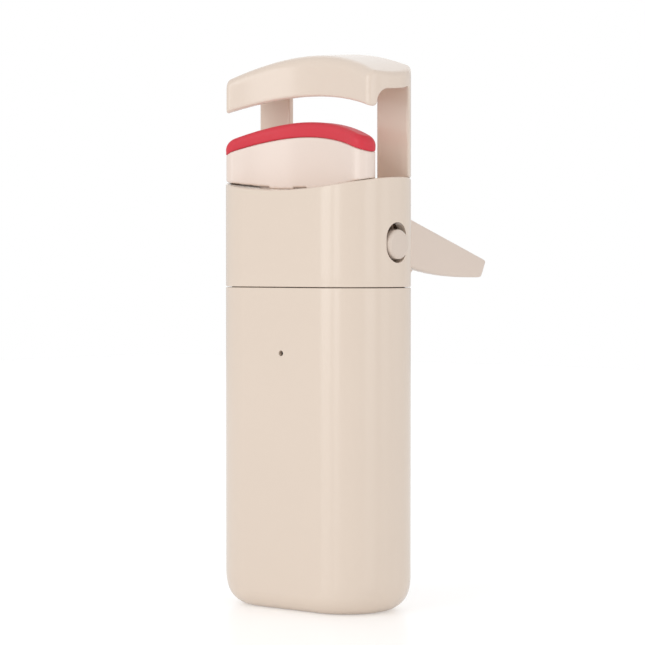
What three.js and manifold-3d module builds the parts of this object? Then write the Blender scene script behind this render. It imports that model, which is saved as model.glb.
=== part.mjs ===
// A heated eyelash curler, standing on its foot.
//
// A tall handle sleeve carries a head housing. A fixed clamp frame stands on the head: a lip, a roof and two
// rear pillars. Pressing the thumb lever down turns it on a pin across the head, and its two fingers lift the
// pad carriage with the heated silicone pad until the lashes are held between the pad and the lip.
//
// Millimetres. +Z is up, the front faces -Y, the lever points to +Y, and the origin is the centre of the foot.

import * as THREE from 'three';
import { mergeVertices } from 'three/addons/utils/BufferGeometryUtils.js';
import Module from 'manifold-3d';

const wasm = await Module();
wasm.setup();

// ---------------------------------------------------------------- driving dimensions

const GAP = 0.3; // air between two pieces that touch

// The housing's outline in plan, a rounded rectangle that sleeve, head and clamp frame share.
const WIDTH = 35;
const DEPTH = 19.1;
const CORNER_RADIUS = 9.1;
const WALL = 1.5;

const FOOT_END_WIDTH = 4.75; // the foot's rounding at the left and right ends, and how far up it reaches
const FOOT_END_HEIGHT = 5.75;
const FOOT_FRONT_RADIUS = 3; // its rounding at the front and the back
const FOOT_STEPS = 6;
const SEAM_Z = 54.7; // joint between sleeve and head
const SEAM_WIDTH = 0.3;

// The head's rim dips at the front centre: z = RIM_Z + RIM_RISE * x^2, and leans up towards the back.
const RIM_Z = 71.1;
const RIM_RISE = 1.3 / 15 ** 2;
const RIM_SLOPE = 0.035;

// The lever turns on a pin along X.
const PIVOT_Z = 61.9;
const PIN_RADIUS = 1.2;
const HUB_RADIUS = 2.6;
const HUB_HALF_WIDTH = 12.2;
const LEVER_HALF_WIDTH = 10;
const LEVER_TOP_Z = 70.8; // the thumb rest's height if it ran on to y = 0
const LEVER_TOP_SLOPE = -0.306;
const LEVER_FACET_LEAN = 0.6; // the upper part of each side leans in towards the thumb rest
const LEVER_FACET_DROP = 3.2;
const LEVER_TAPER_START_Y = 9.5;
const LEVER_TAPER = 1 / 27;
const LEVER_TIP_Y = 37.55;
const LEVER_SIDE_WALL = 1.6;
const LEVER_TOP_WALL = 2;
const FINGER_LENGTH = 6.6; // pin to nose
const FINGER_ANGLE = THREE.MathUtils.degToRad(17.8); // below level at rest, above level when pressed
const FINGER_X = 6.4; // where each finger stands
const FINGER_WIDTH = 2.4;
const NOSE_RADIUS = 1;
const CAP_RADIUS = 2.5;
const CAP_FACE_X = 18; // the round caps stand just proud of the side walls
const SIDE_SLOT_Z = 62.2;
const SIDE_SLOT_HALF_WIDTH = 2.65;
const SIDE_SLOT_HALF_HEIGHT = 3.4;
const LEVER_WINDOW_HALF_WIDTH = LEVER_HALF_WIDTH + 0.4;
const LEVER_WINDOW_BOTTOM = 49.2;
const LEVER_WINDOW_TOP = 69;

// The jaws are arched: higher in the middle than at the ends, and bent round the eye in plan.
const JAW_BEND_RADIUS = 37; // middle of the carriage bar, about a centre in front of the object
const BAR_MIDDLE_Y = -2.1;
const BAR_THICKNESS = 4.2;
const BAR_HALF_SPAN = 13.8; // to the centres of its rounded ends
const CARRIAGE_TOP_Z = 80.1;
const CARRIAGE_TOP_FALL = 3 / 16.1 ** 2;
const PAD_CREST_Z = 82.7;
const PAD_CREST_FALL = 3.35 / 16 ** 2;
const LIP_EDGE_Z = 87.05;
const LIP_EDGE_FALL = 2.25 / 15.7 ** 2;
const LIP_FRONT_Y = -3;
const LIP_BEND_RADIUS = 44;
const LIP_THICKNESS = 1.9;
const ROOF_TOP_Z = 94.2; // above the pin's axis, in the middle
const ROOF_TOP_FALL = 3 / 15.7 ** 2;
const ROOF_SLOPE = 0.09; // up towards the back
const ROOF_THICKNESS = 2.75;
const ROOF_BACK_Y = 7;
const PILLAR_FRONT_Y = 4.05;
const PILLAR_INNER_X = 9.75;
const PILLAR_PLATE = 1.15;
const TONGUE_BOTTOM_Z = 66.5;

// The carriage's stem, its foot over the fingers, and the return springs.
const STEM_THICKNESS = 2.4;
const STEM_MIDDLE_Y = -2.4;
const STEM_HALF_SPAN = 8.6;
const CARRIAGE_FOOT_THICKNESS = 1.4;
const SPRING_X = 11;
const SPRING_Y = -4.8;
const SPRING_RADIUS = 1.15; // to the middle of the wire
const SPRING_WIRE = 0.25;
const SPRING_TURNS = 4;
const POST_RADIUS = 0.7;

// Handle contents.
const LIGHT_Z = 43.6;
const LIGHT_FRONT_Y = -8.8; // the light pipe's end, recessed in its hole
const BUTTON_Z = 27;
const BUTTON_RADIUS = 3.5;
const SOCKET_Z = 11;
const SOCKET_HALF_WIDTH = 4.5;
const SOCKET_HALF_HEIGHT = 1.65;
const BOARD_BACK_Y = 4.4;
const COLLAR_BOTTOM_Z = 47;
const COLLAR_TOP_Z = 58;
const SCREW_X = 12.3;
const FRAME_SCREW_Z = 68.6;
const SLEEVE_SCREW_Z = 48.8;

const FAR = 60; // well outside the object, for cutting blocks

// ---------------------------------------------------------------- colours and surfaces

const SURFACES = {
	shell: { color: 0xe6d5c6, roughness: 0.3, metalness: 0 },
	lever: { color: 0xdccabd, roughness: 0.32, metalness: 0 },
	silicone: { color: 0xdf5766, roughness: 0.55, metalness: 0 },
	rubber: { color: 0x3a3634, roughness: 0.8, metalness: 0 },
	nylon: { color: 0xb9aca3, roughness: 0.6, metalness: 0 },
	steel: { color: 0xb8babd, roughness: 0.3, metalness: 1 },
	aluminium: { color: 0xc9ccd0, roughness: 0.4, metalness: 1 },
	ceramic: { color: 0xe9e6de, roughness: 0.7, metalness: 0 },
	board: { color: 0x2f6b45, roughness: 0.6, metalness: 0 },
	black: { color: 0x222326, roughness: 0.5, metalness: 0 },
	cell: { color: 0x4a6fa5, roughness: 0.4, metalness: 0 },
	smoked: { color: 0x1c1918, roughness: 0.3, metalness: 0 },
	light: { color: 0xff8a5c, roughness: 0.3, metalness: 0 },
};

// ---------------------------------------------------------------- solids from three.js geometry

function solid(geometry) {
	const bare = geometry.index ? geometry.clone() : geometry;
	bare.deleteAttribute('normal');
	bare.deleteAttribute('uv');
	const merged = mergeVertices(bare);
	const mesh = new wasm.Mesh({
		numProp: 3,
		vertProperties: new Float32Array(merged.attributes.position.array),
		triVerts: new Uint32Array(merged.index.array),
	});
	return new wasm.Manifold(mesh);
}

function geometryOf(body) {
	const mesh = body.getMesh();
	const geometry = new THREE.BufferGeometry();
	geometry.setAttribute('position', new THREE.BufferAttribute(mesh.vertProperties, 3));
	geometry.setIndex(new THREE.BufferAttribute(mesh.triVerts, 1));
	geometry.computeVertexNormals();
	return geometry;
}

// A plan shape in x and y, raised from z0 to z1.
function upright(shape, z0, z1, curveSegments = 6) {
	const geometry = new THREE.ExtrudeGeometry(shape, { depth: z1 - z0, bevelEnabled: false, curveSegments });
	return solid(geometry.translate(0, 0, z0));
}

// A shape in y and z, drawn along X.
function alongX(shape, x0, x1, options = {}) {
	const settings = { depth: x1 - x0, bevelEnabled: false, curveSegments: 6, ...options };
	const geometry = new THREE.ExtrudeGeometry(shape, settings);
	const turn = new THREE.Matrix4().makeBasis(
		new THREE.Vector3(0, 1, 0),
		new THREE.Vector3(0, 0, 1),
		new THREE.Vector3(1, 0, 0),
	);
	return solid(geometry.applyMatrix4(turn).translate(x0, 0, 0));
}

// A shape in x and z, drawn along Y, then leaned so that it rises by slope towards +Y. It turns about y = 0.
function alongY(shape, y0, y1, slope = 0, curveSegments = 12) {
	const geometry = new THREE.ExtrudeGeometry(shape, { depth: y1 - y0, bevelEnabled: false, curveSegments });
	const turn = new THREE.Matrix4().makeBasis(
		new THREE.Vector3(1, 0, 0),
		new THREE.Vector3(0, 0, 1),
		new THREE.Vector3(0, -1, 0),
	);
	const shear = new THREE.Matrix4().set(1, 0, 0, 0, 0, 1, 0, 0, 0, slope, 1, 0, 0, 0, 0, 1);
	return solid(geometry.applyMatrix4(turn).translate(0, y1, 0).applyMatrix4(shear));
}

function box(x0, x1, y0, y1, z0, z1) {
	const geometry = new THREE.BoxGeometry(x1 - x0, y1 - y0, z1 - z0);
	return solid(geometry.translate((x0 + x1) / 2, (y0 + y1) / 2, (z0 + z1) / 2));
}

// The same box on both sides of the middle plane.
function boxPair(x0, x1, y0, y1, z0, z1) {
	return box(x0, x1, y0, y1, z0, z1).add(box(-x1, -x0, y0, y1, z0, z1));
}

function rodX(radius, x0, x1, y, z, segments = 24) {
	const geometry = new THREE.CylinderGeometry(radius, radius, x1 - x0, segments);
	return solid(geometry.rotateZ(Math.PI / 2).translate((x0 + x1) / 2, y, z));
}

function rodY(radius, y0, y1, x, z, segments = 20) {
	const geometry = new THREE.CylinderGeometry(radius, radius, y1 - y0, segments);
	return solid(geometry.translate(x, (y0 + y1) / 2, z));
}

function rodZ(radius, z0, z1, x, y, segments = 16) {
	const geometry = new THREE.CylinderGeometry(radius, radius, z1 - z0, segments);
	return solid(geometry.rotateX(Math.PI / 2).translate(x, y, (z0 + z1) / 2));
}

// ---------------------------------------------------------------- shapes

function roundedRectangle(halfWidth, halfDepth, radius) {
	const x = halfWidth - radius;
	const y = halfDepth - radius;
	const shape = new THREE.Shape();
	shape.absarc(x, y, radius, 0, Math.PI / 2);
	shape.absarc(-x, y, radius, Math.PI / 2, Math.PI);
	shape.absarc(-x, -y, radius, Math.PI, 1.5 * Math.PI);
	shape.absarc(x, -y, radius, 1.5 * Math.PI, 2 * Math.PI);
	return shape;
}

// The housing's outline in plan, moved in by inset.
function outline(inset) {
	return roundedRectangle(WIDTH / 2 - inset, DEPTH / 2 - inset, CORNER_RADIUS - inset);
}

// A bar of even thickness bent round the eye, with round ends, in plan.
function bentBar(middleY, thickness, halfSpan) {
	const centreY = middleY - JAW_BEND_RADIUS;
	const half = thickness / 2;
	const sweep = Math.asin(halfSpan / JAW_BEND_RADIUS);
	const endY = centreY + JAW_BEND_RADIUS * Math.cos(sweep);
	const right = Math.PI / 2 - sweep;
	const left = Math.PI / 2 + sweep;
	const shape = new THREE.Shape();
	shape.absarc(0, centreY, JAW_BEND_RADIUS + half, right, left);
	shape.absarc(-halfSpan, endY, half, left, left + Math.PI);
	shape.absarc(0, centreY, JAW_BEND_RADIUS - half, left, right, true);
	shape.absarc(halfSpan, endY, half, right + Math.PI, right + 2 * Math.PI);
	return shape;
}

// The region above, or below, the parabola z = middle + rise * x^2, in x and z.
function beyondArch(middle, rise, farZ) {
	const reach = 24;
	const end = middle + rise * reach ** 2;
	const shape = new THREE.Shape();
	shape.moveTo(-reach, end);
	shape.quadraticCurveTo(0, 2 * middle - end, reach, end);
	shape.lineTo(reach, farZ);
	shape.lineTo(-reach, farZ);
	return shape;
}

function aboveArch(middle, rise, slope = 0) {
	return alongY(beyondArch(middle, rise, FAR * 3), -FAR, FAR, slope);
}

function belowArch(middle, rise, slope = 0) {
	return alongY(beyondArch(middle, rise, -FAR), -FAR, FAR, slope);
}

// All that lies above the head's rim, raised by lift.
function aboveRim(lift) {
	return aboveArch(RIM_Z + lift + (RIM_SLOPE * DEPTH) / 2, RIM_RISE, RIM_SLOPE);
}

function belowRim(lift) {
	return belowArch(RIM_Z + lift + (RIM_SLOPE * DEPTH) / 2, RIM_RISE, RIM_SLOPE);
}

// ---------------------------------------------------------------- housing

// How far in a rounding lies at a height z above its lowest point. It reaches over width and up to height.
function roundingInset(width, height, z) {
	const share = Math.max(0, 1 - z / height);
	return width * (1 - Math.sqrt(1 - share ** 2));
}

// A block of the housing's outline, moved in by inset, on its rounded foot.
function footedBlock(inset, topZ) {
	const levels = FOOT_STEPS + 1;
	const settings = { depth: levels, steps: levels, bevelEnabled: false, curveSegments: 6 };
	const geometry = new THREE.ExtrudeGeometry(outline(inset), settings);
	const points = geometry.attributes.position;
	const height = FOOT_END_HEIGHT - inset;
	const radius = FOOT_FRONT_RADIUS - inset;
	for (let i = 0; i < points.count; i += 1) {
		const level = Math.round(points.getZ(i));
		const angle = (level / FOOT_STEPS) * (Math.PI / 2);
		const z = level > FOOT_STEPS ? topZ - inset : height * (1 - Math.cos(angle));
		const x = points.getX(i) * (1 - roundingInset(FOOT_END_WIDTH - inset, height, z) / (WIDTH / 2 - inset));
		const y = points.getY(i) * (1 - roundingInset(radius, radius, z) / (DEPTH / 2 - inset));
		points.setXYZ(i, x, y, inset + z);
	}
	return solid(geometry);
}

function leverWindow() {
	return box(
		-LEVER_WINDOW_HALF_WIDTH, LEVER_WINDOW_HALF_WIDTH, 3, FAR, LEVER_WINDOW_BOTTOM, LEVER_WINDOW_TOP,
	);
}

// The groove for the seal, in the inner half of the walls at the seam.
function sealGroove() {
	return upright(outline(0.75), SEAM_Z - 0.8, SEAM_Z + 0.8).subtract(
		upright(outline(WALL + 0.2), SEAM_Z - 1, SEAM_Z + 1),
	);
}

function screwHoles(z) {
	const clear = rodY(0.95, 3, FAR, SCREW_X, z).add(rodY(1.7, 7.6, FAR, SCREW_X, z));
	return clear.add(clear.mirror([1, 0, 0]));
}

function handleSleeve() {
	const top = SEAM_Z - SEAM_WIDTH / 2;
	const socketHole = roundedRectangle(SOCKET_HALF_WIDTH + GAP, SOCKET_HALF_HEIGHT + GAP, SOCKET_HALF_HEIGHT);
	return footedBlock(0, top)
		.subtract(footedBlock(WALL, top + 5))
		.subtract(leverWindow())
		.subtract(sealGroove())
		.subtract(screwHoles(SLEEVE_SCREW_Z))
		.subtract(rodY(0.48, -FAR, 0, 0, LIGHT_Z, 12))
		.subtract(rodY(BUTTON_RADIUS + GAP, 0, FAR, 0, BUTTON_Z, 32))
		.subtract(alongY(socketHole, 5, FAR).translate([0, 0, SOCKET_Z]));
}

// The stem's way through the deck.
function stemPlan(clearance) {
	return bentBar(STEM_MIDDLE_Y, STEM_THICKNESS + 2 * clearance, STEM_HALF_SPAN);
}

function sideSlot() {
	const shape = roundedRectangle(SIDE_SLOT_HALF_WIDTH, SIDE_SLOT_HALF_HEIGHT, SIDE_SLOT_HALF_WIDTH);
	return alongX(shape, -FAR, FAR).translate([0, 0, SIDE_SLOT_Z]);
}

function headShell() {
	const bottom = SEAM_Z + SEAM_WIDTH / 2;
	const cavity = upright(outline(WALL), bottom - 5, 90).subtract(aboveRim(-WALL));
	const posts = rodZ(POST_RADIUS + 0.1, 60, 71.2, SPRING_X, SPRING_Y);
	return upright(outline(0), bottom, 90)
		.subtract(aboveRim(0))
		.subtract(cavity)
		.subtract(leverWindow())
		.subtract(sideSlot())
		.subtract(sealGroove())
		.subtract(upright(stemPlan(GAP), 60, 90))
		.subtract(boxPair(PILLAR_INNER_X, 14.6, PILLAR_FRONT_Y - 0.1, 5.5, 60, 90))
		.subtract(posts.add(posts.mirror([1, 0, 0])))
		.subtract(screwHoles(FRAME_SCREW_Z));
}

function seamGasket() {
	const z0 = SEAM_Z - 0.5;
	const z1 = SEAM_Z + 0.5;
	return upright(outline(1.05), z0, z1)
		.subtract(upright(outline(WALL), z0 - 1, z1 + 1))
		.subtract(leverWindow());
}

function jointCollar() {
	const screw = rodY(0.8, 3, FAR, SCREW_X, SLEEVE_SCREW_Z);
	return upright(outline(WALL + GAP), COLLAR_BOTTOM_Z, COLLAR_TOP_Z)
		.subtract(upright(outline(WALL + GAP + 1.4), 0, 90))
		.subtract(leverWindow())
		.subtract(screw.add(screw.mirror([1, 0, 0])));
}

function bearingCheek() {
	const plate = box(12.6, 13.9, -1.7, 1.7, COLLAR_BOTTOM_Z, PIVOT_Z);
	const eye = rodX(HUB_RADIUS, 12.6, 13.9, 0, PIVOT_Z);
	return plate.add(eye).subtract(rodX(PIN_RADIUS + 0.1, 12, 15, 0, PIVOT_Z));
}

// A screw along Y, its head towards the back.
function backScrew(z) {
	const shank = rodY(0.7, 3.4, 7.8, SCREW_X, z, 12);
	const head = rodY(1.4, 7.8, 8.5, SCREW_X, z, 16);
	const recess = box(-0.9, 0.9, 8.2, 9, -0.2, 0.2).add(box(-0.2, 0.2, 8.2, 9, -0.9, 0.9));
	return shank.add(head).subtract(recess.translate([SCREW_X, 0, z]));
}

// ---------------------------------------------------------------- clamp frame

// Everything behind a bent line that crosses the middle plane at y.
function behindBend(y) {
	const shape = new THREE.Shape();
	const centreY = y - LIP_BEND_RADIUS;
	const sweep = 0.5;
	shape.absarc(0, centreY, LIP_BEND_RADIUS, Math.PI / 2 - sweep, Math.PI / 2 + sweep);
	shape.lineTo(-22, FAR);
	shape.lineTo(22, FAR);
	return upright(shape, 0, 120, 12);
}

function clampFrame() {
	const bottom = RIM_Z - 2;
	const plan = upright(outline(0), bottom, 120).intersect(behindBend(LIP_FRONT_Y));
	const backCut = box(-FAR, FAR, ROOF_BACK_Y, FAR, 0, 120);
	const underRoof = behindBend(LIP_FRONT_Y + LIP_THICKNESS).intersect(
		belowArch(ROOF_TOP_Z - ROOF_THICKNESS, -ROOF_TOP_FALL, ROOF_SLOPE),
	);
	const jaw = plan.subtract(belowArch(LIP_EDGE_Z, -LIP_EDGE_FALL)).subtract(underRoof);
	const channel = upright(outline(1.6), 0, 120)
		.intersect(box(-FAR, FAR, PILLAR_FRONT_Y + PILLAR_PLATE, FAR, 0, 120));
	const pillars = plan
		.intersect(boxPair(PILLAR_INNER_X, FAR, PILLAR_FRONT_Y, FAR, 0, 120))
		.subtract(channel.intersect(box(-FAR, FAR, 0, FAR, 0, 88)))
		.subtract(belowRim(GAP));
	const tongueFront = PILLAR_FRONT_Y + 0.2;
	const tongueBack = PILLAR_FRONT_Y + PILLAR_PLATE;
	const tongues = boxPair(PILLAR_INNER_X + GAP, 14.2, tongueFront, tongueBack, TONGUE_BOTTOM_Z, 80);
	const screw = rodY(0.8, 3, 6, SCREW_X, FRAME_SCREW_Z);
	return jaw
		.add(pillars)
		.add(tongues)
		.subtract(backCut)
		.subtract(aboveArch(ROOF_TOP_Z, -ROOF_TOP_FALL, ROOF_SLOPE))
		.subtract(screw.add(screw.mirror([1, 0, 0])));
}

// ---------------------------------------------------------------- lever

function leverTopZ(y) {
	return LEVER_TOP_Z + LEVER_TOP_SLOPE * y;
}

// The lever's cross-section: the upper part of each side leans in, up to the flat thumb rest.
function leverSection() {
	const edge = 0.4;
	const shoulder = LEVER_HALF_WIDTH - LEVER_FACET_LEAN;
	const shape = new THREE.Shape();
	shape.moveTo(LEVER_HALF_WIDTH, 0);
	shape.lineTo(LEVER_HALF_WIDTH, LEVER_TOP_Z - LEVER_FACET_DROP);
	shape.lineTo(shoulder, LEVER_TOP_Z - edge);
	shape.lineTo(shoulder - edge, LEVER_TOP_Z);
	shape.lineTo(edge - shoulder, LEVER_TOP_Z);
	shape.lineTo(-shoulder, LEVER_TOP_Z - edge);
	shape.lineTo(-LEVER_HALF_WIDTH, LEVER_TOP_Z - LEVER_FACET_DROP);
	shape.lineTo(-LEVER_HALF_WIDTH, 0);
	return shape;
}

function leverTail() {
	const shape = new THREE.Shape();
	shape.moveTo(2, 59.7);
	shape.lineTo(12.7, 57.95);
	shape.quadraticCurveTo(20.5, 56.05, LEVER_TIP_Y - 2.3, 56.2);
	shape.lineTo(LEVER_TIP_Y, 58.95);
	shape.lineTo(LEVER_TIP_Y - 0.6, leverTopZ(LEVER_TIP_Y - 0.6));
	shape.lineTo(7, leverTopZ(7));
	shape.lineTo(4.5, 67.4);
	shape.lineTo(2, 63.6);
	const tail = alongX(shape, -LEVER_HALF_WIDTH, LEVER_HALF_WIDTH);
	return tail.intersect(alongY(leverSection(), 0, FAR, LEVER_TOP_SLOPE));
}

// The lever's outline in plan, moved in by inset: it narrows towards its tip, and ends just past it.
function leverPlan(inset) {
	const end = LEVER_TIP_Y + 1;
	const root = LEVER_HALF_WIDTH - inset;
	const tip = root - (end - LEVER_TAPER_START_Y) * LEVER_TAPER;
	const shape = new THREE.Shape();
	shape.moveTo(root, 0);
	shape.lineTo(root, LEVER_TAPER_START_Y);
	shape.lineTo(tip, end);
	shape.lineTo(-tip, end);
	shape.lineTo(-root, LEVER_TAPER_START_Y);
	shape.lineTo(-root, 0);
	return upright(shape, 0, 90);
}

// The hollow underside, which runs out through the tip: the tail is a channel under the thumb rest.
function leverChannel() {
	const start = 8.4;
	const end = LEVER_TIP_Y + 1;
	const shape = new THREE.Shape();
	shape.moveTo(start, 50);
	shape.lineTo(end, 50);
	shape.lineTo(end, leverTopZ(end) - LEVER_TOP_WALL);
	shape.lineTo(start, leverTopZ(start) - LEVER_TOP_WALL);
	return alongX(shape, -LEVER_HALF_WIDTH, LEVER_HALF_WIDTH).intersect(leverPlan(LEVER_SIDE_WALL));
}

function leverFinger() {
	const reach = FINGER_LENGTH;
	const x0 = FINGER_X - FINGER_WIDTH / 2;
	const x1 = FINGER_X + FINGER_WIDTH / 2;
	const finger = box(x0, x1, -reach, 0, -0.62, 0.62).add(rodX(NOSE_RADIUS, x0, x1, -reach, 0));
	return finger.rotate([THREE.MathUtils.radToDeg(FINGER_ANGLE), 0, 0]).translate([0, 0, PIVOT_Z]);
}

function thumbLever() {
	const finger = leverFinger();
	return leverTail()
		.intersect(leverPlan(0))
		.subtract(leverChannel())
		.add(rodX(HUB_RADIUS, -HUB_HALF_WIDTH, HUB_HALF_WIDTH, 0, PIVOT_Z))
		.add(finger)
		.add(finger.mirror([1, 0, 0]))
		.subtract(rodX(PIN_RADIUS + 0.1, -20, 20, 0, PIVOT_Z));
}

// A round cap with a softened outer edge and a spigot for the pin's end.
function pivotCap() {
	const edge = 0.6;
	const profile = [
		new THREE.Vector2(0, 0),
		new THREE.Vector2(CAP_RADIUS, 0),
		new THREE.Vector2(CAP_RADIUS, 1.9 - edge),
		new THREE.Vector2(CAP_RADIUS - edge * 0.3, 1.9 - edge * 0.3),
		new THREE.Vector2(CAP_RADIUS - edge, 1.9),
		new THREE.Vector2(0, 1.9),
	];
	const disc = solid(new THREE.LatheGeometry(profile, 32));
	return disc.rotate([0, 0, -90]).translate([CAP_FACE_X - 1.9, 0, PIVOT_Z]);
}

// ---------------------------------------------------------------- carriage

function noseTopZ() {
	return PIVOT_Z - FINGER_LENGTH * Math.sin(FINGER_ANGLE) + NOSE_RADIUS;
}

function padCarriage() {
	const footZ = noseTopZ() + GAP;
	const footTop = footZ + CARRIAGE_FOOT_THICKNESS;
	const cap = upright(bentBar(BAR_MIDDLE_Y, BAR_THICKNESS, BAR_HALF_SPAN), 60, 90)
		.subtract(belowRim(GAP))
		.subtract(aboveArch(CARRIAGE_TOP_Z, -CARRIAGE_TOP_FALL));
	const hubRoom = box(-FAR, FAR, -3, FAR, 0, 65);
	const stem = upright(stemPlan(0), footZ, 76).subtract(hubRoom);
	const foot = box(-9, 9, -7.3, -3, footZ, footTop).add(box(-12.3, 12.3, -6.2, -3.2, footZ, footTop));
	const fingerRoom = boxPair(FINGER_X - 1.5, FINGER_X + 1.5, -5.4, 0, 0, 63.2);
	const post = rodZ(POST_RADIUS + GAP, 60, 64, SPRING_X, SPRING_Y);
	const pocket = upright(bentBar(BAR_MIDDLE_Y, 2.4, 11.2), 74.6, 90);
	return cap
		.add(stem)
		.add(foot)
		.subtract(fingerRoom)
		.subtract(pocket)
		.subtract(post.add(post.mirror([1, 0, 0])));
}

function siliconePad() {
	const rest = CARRIAGE_TOP_Z + GAP;
	const crest = aboveArch(PAD_CREST_Z, -PAD_CREST_FALL);
	return upright(bentBar(BAR_MIDDLE_Y, BAR_THICKNESS, BAR_HALF_SPAN), 70, 90)
		.subtract(belowArch(rest, -CARRIAGE_TOP_FALL))
		.subtract(crest);
}

function heaterPlate() {
	return upright(bentBar(BAR_MIDDLE_Y, 1.8, 11), 76.4, 90).subtract(
		aboveArch(CARRIAGE_TOP_Z, -CARRIAGE_TOP_FALL),
	);
}

function heatingElement() {
	return upright(bentBar(BAR_MIDDLE_Y, 1.8, 9.5), 74.9, 76.1).intersect(box(2, FAR, -FAR, FAR, 0, 90));
}

function temperatureSensor() {
	return rodX(0.55, -1.4, 1.4, BAR_MIDDLE_Y, 75.5, 12);
}

function returnSpring() {
	const bottom = noseTopZ() + CARRIAGE_FOOT_THICKNESS + 2 * GAP + SPRING_WIRE;
	const top = 69.9 - SPRING_WIRE;
	const steps = SPRING_TURNS * 12;
	const points = [];
	for (let i = 0; i <= steps; i += 1) {
		const angle = (i / 12) * 2 * Math.PI;
		const z = THREE.MathUtils.lerp(bottom, top, i / steps);
		points.push(new THREE.Vector3(SPRING_RADIUS * Math.cos(angle), SPRING_RADIUS * Math.sin(angle), z));
	}
	const wire = new THREE.Shape();
	wire.absarc(0, 0, SPRING_WIRE, 0, 2 * Math.PI);
	const path = new THREE.CatmullRomCurve3(points);
	const geometry = new THREE.ExtrudeGeometry(wire, { steps, extrudePath: path, curveSegments: 3 });
	return solid(geometry).translate([SPRING_X, SPRING_Y, 0]);
}

function guidePost() {
	return rodZ(POST_RADIUS, noseTopZ(), 71, SPRING_X, SPRING_Y);
}

// ---------------------------------------------------------------- handle contents

function batteryCell() {
	return upright(roundedRectangle(9.5, 3.6, 1.2), 6.5, 38.5, 3).translate([0, -2.2, 0]);
}

function circuitBoard() {
	return box(-10.5, 10.5, BOARD_BACK_Y - 1.2, BOARD_BACK_Y, 6, 46.4);
}

function usbSocket() {
	const shell = roundedRectangle(SOCKET_HALF_WIDTH, SOCKET_HALF_HEIGHT, SOCKET_HALF_HEIGHT - 0.05);
	const hollow = roundedRectangle(SOCKET_HALF_WIDTH - 0.4, SOCKET_HALF_HEIGHT - 0.4, SOCKET_HALF_HEIGHT - 0.5);
	const body = alongY(shell, BOARD_BACK_Y + GAP, 9.2, 0, 4).subtract(alongY(hollow, 6, FAR, 0, 4));
	return body.add(box(-3.2, 3.2, 5.5, 8.6, -0.35, 0.35)).translate([0, 0, SOCKET_Z]);
}

function powerSwitch() {
	return box(-3, 3, BOARD_BACK_Y + GAP, 5.7, BUTTON_Z - 3, BUTTON_Z + 3).add(
		rodY(1.5, 5.5, 6.1, 0, BUTTON_Z),
	);
}

function powerButton() {
	return rodY(BUTTON_RADIUS, 7, 10, 0, BUTTON_Z, 32).add(rodY(4.4, 7, 7.7, 0, BUTTON_Z, 32));
}

function statusLed() {
	return box(-1.2, 1.2, 1.7, 2.9, LIGHT_Z - 1.2, LIGHT_Z + 1.2);
}

function lightPipe() {
	return rodY(1.1, -7.7, 1.4, 0, LIGHT_Z, 16).add(rodY(0.4, LIGHT_FRONT_Y, -7.5, 0, LIGHT_Z, 12));
}

// ---------------------------------------------------------------- assembly

const curler = new THREE.Group();

function place(name, body, surface) {
	const mesh = new THREE.Mesh(geometryOf(body), new THREE.MeshStandardMaterial(SURFACES[surface]));
	mesh.name = name;
	curler.add(mesh);
}

// A piece of the right side (+X) and its mirror image on the left.
function placePair(name, body, surface) {
	place(`right_${name}`, body, surface);
	place(`left_${name}`, body.mirror([1, 0, 0]), surface);
}

place('handle_sleeve', handleSleeve(), 'shell');
place('head_shell', headShell(), 'shell');
place('seam_gasket', seamGasket(), 'rubber');
place('joint_collar', jointCollar(), 'nylon');
placePair('bearing_cheek', bearingCheek(), 'steel');
place('clamp_frame', clampFrame(), 'shell');
placePair('frame_screw', backScrew(FRAME_SCREW_Z), 'steel');
placePair('sleeve_screw', backScrew(SLEEVE_SCREW_Z), 'steel');

place('thumb_lever', thumbLever(), 'lever');
place('pivot_pin', rodX(PIN_RADIUS, -15.8, 15.8, 0, PIVOT_Z), 'steel');
placePair('pivot_cap', pivotCap(), 'shell');

place('pad_carriage', padCarriage(), 'shell');
place('silicone_pad', siliconePad(), 'silicone');
place('heater_plate', heaterPlate(), 'aluminium');
placePair('heating_element', heatingElement(), 'ceramic');
place('temperature_sensor', temperatureSensor(), 'black');
placePair('guide_post', guidePost(), 'steel');
placePair('return_spring', returnSpring(), 'steel');

place('battery_cell', batteryCell(), 'cell');
place('circuit_board', circuitBoard(), 'board');
place('usb_socket', usbSocket(), 'steel');
place('power_switch', powerSwitch(), 'black');
place('power_button', powerButton(), 'shell');
place('status_led', statusLed(), 'light');
place('light_pipe', lightPipe(), 'smoked');

export default curler;
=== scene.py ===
"""The looks of a heated eyelash curler that stands on its foot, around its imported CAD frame.

The front faces -Y, the thumb lever points to +Y and +Z is up. Sizes in this script are millimetres unless a
name says otherwise, and meshes are scaled to metres as they are made.

The housing's walls are lofted from the plan outline. The jaws, the lever and the carriage are the level
surfaces of distance functions, meshed by surface_net, so that every edge and joint between faces is rounded.
"""

import math

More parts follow.
